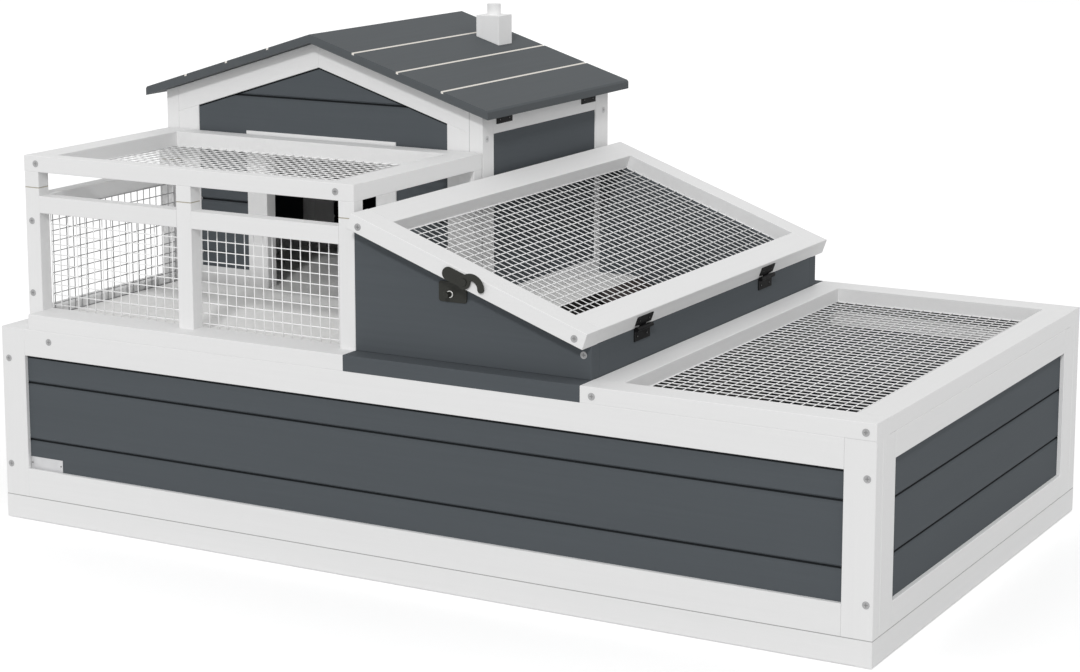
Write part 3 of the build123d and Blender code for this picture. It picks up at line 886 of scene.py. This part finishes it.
@dataclass
class Boards:
    """All the timber, which comes from the frame and only gets its finishes.

    Seams are heights, and insides and shaded parts are places where painted shade starts, all
    in shop millimetres. The box's inside is told from its nearest outer face. The dark seam
    lines are painted shade in the gaps between boards, and the long walls' line at 196.5 is a
    painted shadow under their top rails.
    """

    long_posts: GrainPlan = GrainPlan(X, X, 550.0, 516.0, Z)
    end_posts: GrainPlan = GrainPlan(Y, Y, 320.0, 268.0, Z)
    flat_lid: GrainPlan = GrainPlan(Y, Y, 320.0, 286.0, X)
    sloping_lid: GrainPlan = GrainPlan(Y, Y, 320.0, 281.0, X)
    balcony_lid: GrainPlan = GrainPlan(Y, Y, 159.0, 115.0, X)
    gable: GrainPlan = GrainPlan(X, X, 250.0, 181.0, Z)
    house_side: GrainPlan = GrainPlan(Y, Y, 456.0, 128.0, Z)
    sills: GrainPlan = GrainPlan(Y, Y, 320.0, 276.0, X)
    cleats: GrainPlan = GrainPlan(Y, Y, 320.0, 268.0, X)
    # Level lines, painted shade in the plank grooves; 196.5 is a painted shadow under the top
    # rails.
    long_seams: tuple[float, ...] = (96.7, 165.4, 196.5)
    end_seams: tuple[float, ...] = (100.4, 158.0)
    gable_seams: tuple[float, ...] = (277.6, 344.9, 412.2, 479.5)
    side_seams: tuple[float, ...] = (321.3, 388.6)
    # Top of the painted shadow line under the gable's rakes.
    gable_peak: float = 520.0
    # Upright lines of painted shade in the joints at the gable's corners.
    gable_corners: Pair = (37.8, 462.2)
    # Where the painted shade on the inner faces of the box's and the house's walls starts.
    box_inside: float = 13.0
    house_inside_x: Pair = (29.5, 470.5)
    house_inside_y: Pair = (312.0, 609.0)
    # Painted shadow of the flat lid's back rail on the inner face of the back wall's frame.
    rail_stain: tuple[Bound, ...] = (
        Bound(Y, 624.0, False), Bound(Z, 216.2), Bound(X, 2.0), Bound(X, 1098.0, False),
    )
    # The cleats' tops beyond the deck, and the deck boards' end faces, near black as painted
    # shade.
    cleat_stain: float = 44.0
    deck_stain: float = 539.6
    leg_seam: float = 394.7
    # Line of painted shade in the joint above the plinth.
    plinth_seam: float = 28.0

    def marks(self) -> dict[str, Marks]:
        """The lines and the stained parts of the nodes that have them.

        Returns:
            The marks of each such node.
        """
        joint = Marks((self.leg_seam,), half=0.6, seam_tint=(0.62, 0.58, 0.48))
        plinth = Marks((self.plinth_seam,), half=0.5, seam_tint=grey(0.5))
        corners = Marks(half=0.8, seam_tint=grey(0.72), uprights=self.gable_corners)
        low = self.box_inside
        far_x, far_y = BOX_LENGTH - low, BOX_DEPTH - low
        left, right = self.house_inside_x
        front, back = self.house_inside_y
        return {
            # Inner faces of the walls and the house are darkened as painted shade, the house's
            # back darkest.
            "front_wall_planks": Marks(self.long_seams, painted_shade=(Bound(Y, low),)),
            "back_wall_planks": Marks(self.long_seams, painted_shade=(Bound(Y, far_y, False),)),
            "left_wall_planks": Marks(self.end_seams, painted_shade=(Bound(X, low),)),
            "right_wall_planks": Marks(self.end_seams, painted_shade=(Bound(X, far_x, False),)),
            "house_front_planks": Marks(
                self.gable_seams, painted_shade=(Bound(Y, front),), peak=self.gable_peak,
            ),
            "house_back_planks": Marks(
                self.gable_seams, painted_shade=(Bound(Y, back, False),), stain_tint=grey(0.1),
                peak=self.gable_peak,
            ),
            "house_left_planks": Marks(self.side_seams, painted_shade=(Bound(X, left),)),
            "house_right_planks": Marks(self.side_seams, painted_shade=(Bound(X, right, False),)),
            # The back wall's frame: the plinth line, and the painted shadow inside under the flat
            # lid's back rail.
            "back_wall_frame": Marks(
                (self.plinth_seam,), 0.5, grey(0.5), self.rail_stain, grey(0.08),
            ),
            "front_wall_frame": plinth, "left_wall_frame": plinth, "right_wall_frame": plinth,
            "plinth_front": plinth, "plinth_back": plinth, "plinth_sides": plinth,
            # Near-black painted shade where the hole beside the deck falls dark.
            "deck_cleats": Marks(painted_shade=(Bound(X, self.cleat_stain),), stain_tint=grey(0.04)),
            "deck_boards": Marks(painted_shade=(Bound(X, self.deck_stain),), stain_tint=grey(0.03)),
            "balcony_posts": joint, "balcony_lid_legs": joint,
            "house_front_frame": corners, "house_back_frame": corners,
        }

    def plans(self) -> dict[tuple[Timber, GrainPlan], tuple[str, ...]]:
        """The timber nodes of each finish and grain.

        Returns:
            Names of nodes, by finish and grain.
        """
        x, y, z = (GrainPlan(axis) for axis in Axis)
        return {
            (WHITE, x): (
                "plinth_front", "plinth_back", "balcony_sill", "balcony_front_rails",
                "doorway_head",
            ),
            (WHITE, y): ("plinth_sides", "balcony_side_rails"),
            (WHITE, z): ("balcony_posts", "balcony_lid_legs", "doorway_jambs"),
            (WHITE, self.long_posts): ("front_wall_frame", "back_wall_frame"),
            (WHITE, self.end_posts): ("left_wall_frame", "right_wall_frame"),
            (WHITE, self.cleats): ("deck_cleats",),
            (WHITE, self.balcony_lid): ("balcony_lid_frame",),
            (WHITE, self.flat_lid): ("flat_lid_frame",),
            (WHITE, self.sloping_lid): ("sloping_lid_frame",),
            (WHITE, self.gable): ("house_front_frame", "house_back_frame"),
            (WHITE, self.house_side): ("house_left_frame", "house_right_frame"),
            (LIT_CHIMNEY_WHITE, z): ("chimney_block", "chimney_cap"),
            (GREY, x): (
                "front_wall_planks", "back_wall_planks", "house_front_planks",
                "house_back_planks", "hutch_front_panel", "hutch_back_panel",
            ),
            (GREY, y): (
                "left_wall_planks", "right_wall_planks", "house_left_planks",
                "house_right_planks", "hutch_right_panel",
            ),
            (GREY, self.sills): ("hutch_sills",),
            # The floor and hidden framing get the near-black painted shade.
            (PAINTED_SHADE_WOOD, x): ("floor_panel", "floor_cleats", "roof_cleats"),
            (PAINTED_SHADE_WOOD, y): ("middle_beam",),
            (DECK, y): ("deck_boards",),
            (RAMP, x): ("ramp_board",),
            (RAMP, y): ("ramp_treads",),
            (ROOF, y): ("roof_left_boards", "roof_right_boards"),
        }

    def finish_all(self) -> None:
        """Give every timber node its finish, making each material once."""
        all_marks, made, count = self.marks(), {}, 0
        for (finish, plan), nodes in self.plans().items():
            for node in nodes:
                marks = all_marks.get(node, PLAIN)
                key = (finish.name, plan, marks)
                if key not in made:
                    made[key] = finish.make(plan, marks)
                dress(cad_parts[node], made[key])
                count += 1
        log.info("timber: %d nodes, %d finishes", count, len(made))


@dataclass
class Ironwork:
    """Hinges and the latch, which come from the frame and only get their finishes."""

    black_nodes: tuple[str, ...] = (
        "lid_hinge_fixed_leaves", "lid_hinge_moving_leaves", "lid_hinge_pins",
        "roof_hinge_fixed_leaves", "roof_hinge_moving_leaves", "roof_hinge_pins",
    )
    olive_nodes: tuple[str, ...] = ("latch_plate", "latch_lever", "latch_rivet", "latch_keeper")

    def finish_all(self) -> None:
        """Give the ironwork its finishes."""
        for finish, nodes in ((BLACK, self.black_nodes), (OLIVE, self.olive_nodes)):
            material = finish.make()
            for node in nodes:
                dress(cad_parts[node], material)
        log.info("ironwork: %d nodes", len(self.black_nodes) + len(self.olive_nodes))


@dataclass
class WireNet:
    """A welded wire net that stands for one of the frame's plain nets.

    The origin is its first corner in metres, and along and across are unit vectors. Sizes
    are in millimetres: the gauge is a wire's radius, and the pitch is rounded to fit. The
    rounding of the ends and the crossing wires' height are told in wire radii.
    """

    node: str
    body: str
    origin: Vector
    along: Vector
    across: Vector
    length: float
    width: float
    gauge: float = 0.6
    pitch: float = 12.5
    sides: int = 8
    end_rim: float = 0.4
    end_rise: float = 0.3
    crossing: float = 2.6
    smoothing: float = 60.0

    def wires(
        self, name: str, run: Vector, reach: float, step: Vector, spread: float, lift: Vector,
    ) -> Object:
        """One family of parallel wires.

        Args:
            name: Name of the row.
            run: Direction of each wire.
            reach: Length of each wire in millimetres.
            step: Direction from one wire to the next.
            spread: Distance from the first to the last in millimetres.
            lift: How far the family stands off the net's plane.

        Returns:
            The row of wires.
        """
        radius = self.gauge * MM
        gaps = round(spread / self.pitch)
        start = self.origin + lift + step * radius
        rod = add_rod(name, radius, start, start + run * reach * MM, self.sides)
        edit_faces(rod, lambda face: abs(face.normal.dot(run)) > FACING)
        bpy.ops.mesh.inset(thickness=radius * self.end_rim, depth=radius * self.end_rise)
        finish_edit()
        return repeat(rod, gaps + 1, step * ((spread * MM - 2 * radius) / gaps))

    def build(self, material: Material) -> Object:
        """Build the net, dress it and let it ride on its body.

        Args:
            material: Finish of the wire.

        Returns:
            The finished net.
        """
        length, width = (self.along, self.length), (self.across, self.width)
        lift = self.along.cross(self.across).normalized() * (self.gauge * MM)
        lengthwise = self.wires("wires_a", *length, *width, lift)
        crosswise = self.wires("wires_b", *width, *length, lift * self.crossing)
        net = join(f"{self.node}_wires", [lengthwise, crosswise])
        smooth(net, self.smoothing)
        dress(net, material)
        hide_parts(self.node)
        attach(net, self.body)
        log.info("%s: %d faces", net.name, len(net.data.polygons))
        return net


@dataclass
class Nets:
    """The five wire nets.

    Corners are in shop millimetres. Sizes are a net's length and width in millimetres.
    """

    flat_corner: Point = (806.3, 34.0, 231.0)
    flat_size: Pair = (259.7, 572.0)
    flat_gauge: float = 0.53
    sloping_foot: Point = (772.0, 39.0, 285.4)
    sloping_length: float = 306.03
    sloping_width: float = 562.0
    sloping_gauge: float = 0.57
    stock: float = 34.0
    upper_corner: Point = (55.0, 44.0, 413.2)
    upper_size: Pair = (391.0, 230.0)
    balcony_corner: Point = (41.5, 46.8, 240.0)
    front_size: Pair = (418.0, 134.0)
    left_size: Pair = (235.0, 126.5)

    def sloping_net(self, across: Vector) -> WireNet:
        """The sloping lid's net, which starts below the lid's top board.

        Args:
            across: Direction of its width, a unit vector.

        Returns:
            The net.
        """
        slope = math.radians(LID_SLOPE)
        down = Vector((math.cos(slope), 0, -math.sin(slope)))
        start = at(*self.sloping_foot) - down * (self.sloping_length - self.stock) * MM
        size = (self.sloping_length - 2 * self.stock, self.sloping_width)
        return WireNet(
            "sloping_lid_net", "sloping_lid", start, down, across, *size, self.sloping_gauge,
        )

    def build_all(self) -> None:
        """Build every net."""
        wire = WIRE.make()
        x, y, z = Vector((1, 0, 0)), Vector((0, 1, 0)), Vector((0, 0, 1))
        flat, upper = at(*self.flat_corner), at(*self.upper_corner)
        corner = at(*self.balcony_corner)
        for net in (
            WireNet("flat_lid_net", "flat_lid", flat, x, y, *self.flat_size, self.flat_gauge),
            self.sloping_net(y),
            WireNet("balcony_lid_net", "balcony_lid", upper, x, y, *self.upper_size),
            WireNet("balcony_front_net", "house", corner, x, z, *self.front_size),
        ):
            net.build(wire)
        # The left net gets the darker wire as painted shade.
        left = WireNet("balcony_left_net", "house", corner, y, z, *self.left_size)
        left.build(SHADED_SIDE_WIRE.make())


@dataclass
class Screws:
    """Countersunk cross-head screws, one modelled and the rest copied.

    Sizes are in millimetres. The slots make the cross, and the floor is its height.
    """

    radius: float = 4.0
    head: float = 0.4
    sunk: float = 1.0
    sides: int = 20
    rim: float = 0.5
    dish: float = 0.6
    dish_depth: float = 0.08
    slot_width: float = 1.0
    slot_reach: float = 2.2
    floor: float = 0.05
    slot: str = "zinc_wire"
    pattern: Object | None = None

    def model(self, material: Material) -> Object:
        """Model one screw head at the origin, facing up, with painted shade in its cross.

        Args:
            material: Finish of the head.

        Returns:
            The screw head.
        """
        low, high = Vector((0, 0, -self.sunk * MM)), Vector((0, 0, self.head * MM))
        head = add_rod("screw_head", self.radius * MM, low, high, self.sides)
        edit_faces(head, lambda face: face.normal.z > FACING)
        bpy.ops.mesh.inset(thickness=self.rim * MM, depth=0)
        bpy.ops.mesh.inset(thickness=self.dish * MM, depth=-self.dish_depth * MM)
        finish_edit()
        reach, half, floor = self.slot_reach, self.slot_width / 2, self.floor * MM
        for wide, deep in ((reach, half), (half, reach)):
            low = Vector((-wide * MM, -deep * MM, floor))
            high = Vector((wide * MM, deep * MM, 2 * self.head * MM))
            cut_away(head, add_block("slot", low, high))
        # The cross's floor gets the painted shade.
        for finish in (material, RECESS_SHADE.make()):
            head.data.materials.append(finish)
        for face in head.data.polygons:
            on_floor = abs(face.center.z - floor) < FLOOR_TOLERANCE
            face.material_index = int(face.normal.z > FACING and on_floor)
        return head

    def place(self, name: str, body: str, normal: Vector, spots: Sequence[Point]) -> None:
        """Place copies of the screw on one body and join them.

        Args:
            name: Name of the joined screws.
            body: Body that they ride on.
            normal: Direction that the heads face.
            spots: Places of the heads, in shop millimetres.
        """
        copies = []
        for spot in spots:
            copy = self.pattern.copy()
            copy.data = self.pattern.data.copy()
            bpy.context.scene.collection.objects.link(copy)
            copy.rotation_mode = "QUATERNION"
            copy.rotation_quaternion = normal.to_track_quat("Z", "Y")
            copy.location = at(*spot)
            copies.append(settle(copy))
        joined = join(name, copies)
        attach(joined, body)
        log.info("%s: %d screws", name, len(spots))

    def place_all(self, groups: dict[str, ScrewGroup], material: Material) -> None:
        """Model the screw once and place every group of it.

        Args:
            groups: Body, direction and places of each group, by its name.
            material: Finish of the screws.
        """
        self.pattern = self.model(material)
        for name, (body, normal, spots) in groups.items():
            self.place(name, body, normal, spots)
        bpy.data.objects.remove(self.pattern)


@dataclass
class BoardScrews(Screws):
    """The zinc screws that hold the frames together."""

    upper_face: float = 26.0
    lid_face: float = 5.0
    house_faces: Pair = (20.0, 480.0)

    def build_all(self) -> None:
        """Place every group of screws."""
        front, back, right, left = map(Vector, ((0, -1, 0), (0, 1, 0), (1, 0, 0), (-1, 0, 0)))
        walls = [(10, 193.5), (8, 65.5), (1091, 192.5), (1092.5, 64.6), (70.6, 218.7)]
        run_lid = [(786, 239), (1088.5, 239)]
        upper_lid = [(38, 423), (456, 423)]
        slope = [(498.3, 390.7), (762.9, 296.4)]
        post = [(30, 355), (28, 269)]
        hutch = [(763, 275)]
        house_side = [(312.1, 447.1), (605.8, 448.7)]
        upper, lid, far = self.upper_face, self.lid_face, BOX_DEPTH
        groups = {
            "box_front_screws": ("house", front, 0.0, walls),
            "box_back_screws": ("house", back, far, walls),
            "run_lid_front_screws": ("flat_lid", front, 0.0, run_lid),
            "run_lid_back_screws": ("flat_lid", back, far, run_lid),
            "balcony_lid_screws": ("balcony_lid", front, upper, upper_lid),
            "balcony_post_screws": ("house", front, upper, post),
            "sloping_lid_front_screws": ("sloping_lid", front, lid, slope),
            "sloping_lid_back_screws": ("sloping_lid", back, far - lid, slope),
            "hutch_front_screw": ("house", front, upper, hutch),
            "hutch_back_screw": ("house", back, far - upper, hutch),
        }
        self.place_all({
            name: (body, normal, [(x, y, z) for x, z in spots])
            for name, (body, normal, y, spots) in groups.items()
        }, ZINC.make())
        left_face, right_face = self.house_faces
        self.place_all({
            "house_right_screws": ("house", right, [(right_face, *spot) for spot in house_side]),
            "house_left_screws": ("house", left, [(left_face, *spot) for spot in house_side]),
        }, PALE_ZINC.make())


@dataclass
class HingeScrews(Screws):
    """The small black screws, two to each hinge leaf.

    The hinges' places lie along the depth, and the leaves' along the length and in height.
    """

    radius: float = 2.1
    head: float = 0.3
    slot_width: float = 0.7
    slot_reach: float = 1.3
    slot: str = "black_metal"
    spread: float = 11.0
    lid_hinges: Pair = (140.5, 461.3)
    roof_hinges: Pair = (352.2, 564.0)
    lid_fixed: Pair = (773.2, 276.4)
    lid_moving: Pair = (776.14, 293.45)
    roof_fixed: Pair = (481.2, 467.0)
    roof_moving: Pair = (491.47, 474.55)

    def build_all(self) -> None:
        """Place the screws of all eight leaves."""
        lid, roof = math.radians(LID_SLOPE), math.radians(ROOF_SLOPE)
        right = Vector((1, 0, 0))
        lid_side = Vector((math.cos(lid), 0, -math.sin(lid)))
        roof_side = Vector((-math.sin(roof), 0, -math.cos(roof)))
        leaves = {
            "lid_hinge_fixed_screws": ("house", right, self.lid_fixed, self.lid_hinges),
            "lid_hinge_moving_screws": ("sloping_lid", lid_side, self.lid_moving, self.lid_hinges),
            "roof_hinge_fixed_screws": ("house", right, self.roof_fixed, self.roof_hinges),
            "roof_hinge_moving_screws": ("roof", roof_side, self.roof_moving, self.roof_hinges),
        }
        shifts = (-self.spread, self.spread)
        self.place_all({
            name: (body, side, [(x, y + shift, z) for y in hinges for shift in shifts])
            for name, (body, side, (x, z), hinges) in leaves.items()
        }, BLACK.make())


@dataclass
class StudCollar:
    """Washer round the keeper's stud, its pale bright metal partly a painted highlight."""

    x: float = 602.0
    z: float = 324.1
    face: float = 24.5
    radius: float = 4.0
    thickness: float = 0.9
    sides: int = 32
    rim: float = 0.6
    rise: float = 0.25
    rounding: float = 0.15

    def build(self) -> None:
        """Build the washer, with a rounded rim."""
        back = at(self.x, self.face, self.z)
        front = at(self.x, self.face - self.thickness, self.z)
        collar = add_rod("stud_collar", self.radius * MM, front, back, self.sides)
        edit_faces(collar, lambda face: face.normal.y < -FACING)
        bpy.ops.mesh.inset(thickness=self.rim * MM, depth=self.rise * MM)
        finish_edit()
        joined = join("stud_collar", [round_edges(collar, self.rounding * MM)])
        smooth(joined)
        dress(joined, HIGHLIGHT_ZINC.make())
        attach(joined, "house")
        log.info("stud collar: %d faces", len(joined.data.polygons))


@dataclass
class MakerPlate:
    """Small bare metal plate at the front's lower left, with a pin at each end."""

    left: float = 34.6
    right: float = 82.0
    bottom: float = 62.2
    top: float = 76.8
    face: float = 5.0
    thickness: float = 0.7
    rounding: float = 0.25
    pin_radius: float = 0.9
    pin_sides: int = 12
    pin_inset: float = 2.5
    pin_reach: float = 1.8
    pin_rounding: float = 0.3

    def build(self) -> None:
        """Build the plate and its pins."""
        front, tip = self.face - self.thickness, self.face - self.pin_reach * self.thickness
        low, high = at(self.left, front, self.bottom), at(self.right, self.face, self.top)
        plate = round_edges(add_block("plate", low, high), self.rounding * MM)
        middle, radius, dark = (self.bottom + self.top) / 2, self.pin_radius * MM, PIN.make()
        pins = []
        for x in (self.left + self.pin_inset, self.right - self.pin_inset):
            inner, outer = at(x, front, middle), at(x, tip, middle)
            pin = add_rod("pin", radius, inner, outer, self.pin_sides)
            pins.append(round_edges(pin, self.pin_rounding * MM))
            dress(pins[-1], dark)
        dress(plate, PLATE.make())
        joined = join("maker_plate", [plate, *pins])
        smooth(joined)
        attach(joined, "house")
        log.info("maker plate: bare")


@dataclass
class Studio:
    """Camera, lights and floor."""

    eye: Point = (1.4465, -2.5977, 0.8691)
    yaw: float = 0.509
    pitch: float = 0.175
    lens: float = 85.822
    sensor: float = 36.0
    shift_y: float = -0.09815
    sky: float = 0.73
    sun_strength: float = 1.12
    sun_spread: float = 5.0
    sun_from: Point = (0.27, -0.79, 0.54)
    paper: float = 0.68
    paper_lift: float = 0.185
    floor_size: float = 14.0
    floor_drop: float = 0.0005

    def camera(self) -> None:
        """Place the camera where the photograph was taken from."""
        data = bpy.data.cameras.new("camera")
        data.sensor_width = self.sensor
        data.lens = self.lens
        data.shift_y = self.shift_y
        camera = bpy.data.objects.new("camera", data)
        camera.location = self.eye
        camera.rotation_euler = (math.pi / 2 - self.pitch, 0.0, self.yaw)
        bpy.context.scene.collection.objects.link(camera)
        bpy.context.scene.camera = camera

    def lights(self) -> None:
        """One soft lamp and an even sky that shows white behind the object."""
        sun = bpy.data.lights.new("key", "SUN")
        sun.energy = self.sun_strength
        sun.angle = math.radians(self.sun_spread)
        lamp = bpy.data.objects.new("key", sun)
        lamp.rotation_mode = "QUATERNION"
        lamp.rotation_quaternion = Vector(self.sun_from).to_track_quat("Z", "Y")
        bpy.context.scene.collection.objects.link(lamp)
        world = bpy.data.worlds.new("studio")
        bpy.context.scene.world = world
        world.use_nodes = True
        tree = world.node_tree
        tree.nodes.clear()
        even, white = (tree.nodes.new("ShaderNodeBackground") for _ in range(2))
        for light, strength in ((even, self.sky), (white, 1.0)):
            light.inputs["Color"].default_value = WHITE_LIGHT
            light.inputs["Strength"].default_value = strength
        mix = tree.nodes.new("ShaderNodeMixShader")
        output = tree.nodes.new("ShaderNodeOutputWorld")
        tree.links.new(self.seen_rays(tree), mix.inputs[0])
        tree.links.new(even.outputs[0], mix.inputs[1])
        tree.links.new(white.outputs[0], mix.inputs[2])
        tree.links.new(mix.outputs[0], output.inputs[0])

    def seen_rays(self, tree: bpy.types.NodeTree) -> Socket:
        """Share that is 1 where the background is seen, straight or in metal or glass.

        Args:
            tree: Node tree to add to.

        Returns:
            The share.
        """
        rays = tree.nodes.new("ShaderNodeLightPath")
        seen = rays.outputs["Is Camera Ray"]
        for kind in ("Is Glossy Ray", "Is Transmission Ray"):
            total = tree.nodes.new("ShaderNodeMath")
            total.operation = "MAXIMUM"
            tree.links.new(seen, total.inputs[0])
            tree.links.new(rays.outputs[kind], total.inputs[1])
            seen = total.outputs[0]
        return seen

    def floor(self) -> None:
        """Plain pale floor that looks white and keeps the object's shadow.

        It lies just under the ground, clear of the plinth's underside.
        """
        deselect()
        bpy.ops.mesh.primitive_plane_add(size=self.floor_size, location=(0, 0, -self.floor_drop))
        floor = bpy.context.object
        floor.name = "studio_floor"
        paper = bpy.data.materials.new("floor_paper")
        paper.use_nodes = True
        tree = paper.node_tree
        tree.nodes.clear()
        pale, white = (tree.nodes.new("ShaderNodeBsdfDiffuse") for _ in range(2))
        pale.inputs["Color"].default_value = (*grey(self.paper), 1.0)
        white.inputs["Color"].default_value = WHITE_LIGHT
        lift = tree.nodes.new("ShaderNodeEmission")
        lift.inputs["Strength"].default_value = self.paper_lift
        seen = tree.nodes.new("ShaderNodeAddShader")
        mix = tree.nodes.new("ShaderNodeMixShader")
        output = tree.nodes.new("ShaderNodeOutputMaterial")
        tree.links.new(white.outputs[0], seen.inputs[0])
        tree.links.new(lift.outputs[0], seen.inputs[1])
        tree.links.new(self.seen_rays(tree), mix.inputs[0])
        tree.links.new(pale.outputs[0], mix.inputs[1])
        tree.links.new(seen.outputs[0], mix.inputs[2])
        tree.links.new(mix.outputs[0], output.inputs["Surface"])
        dress(floor, paper)

    def build(self) -> None:
        """Build the whole studio and set how colours are shown."""
        self.camera()
        self.lights()
        self.floor()
        bpy.context.scene.view_settings.view_transform = "Standard"
        log.info("studio: camera, key lamp, sky and floor")


def main() -> None:
    """Build the pieces in order and write how large they come out."""
    logging.basicConfig(level=logging.INFO, format="%(name)s: %(message)s")
    Studio().build()
    Boards().finish_all()
    Ironwork().finish_all()
    Nets().build_all()
    BoardScrews().build_all()
    HingeScrews().build_all()
    StudCollar().build()
    MakerPlate().build()


if __name__ == "__main__":
    main()
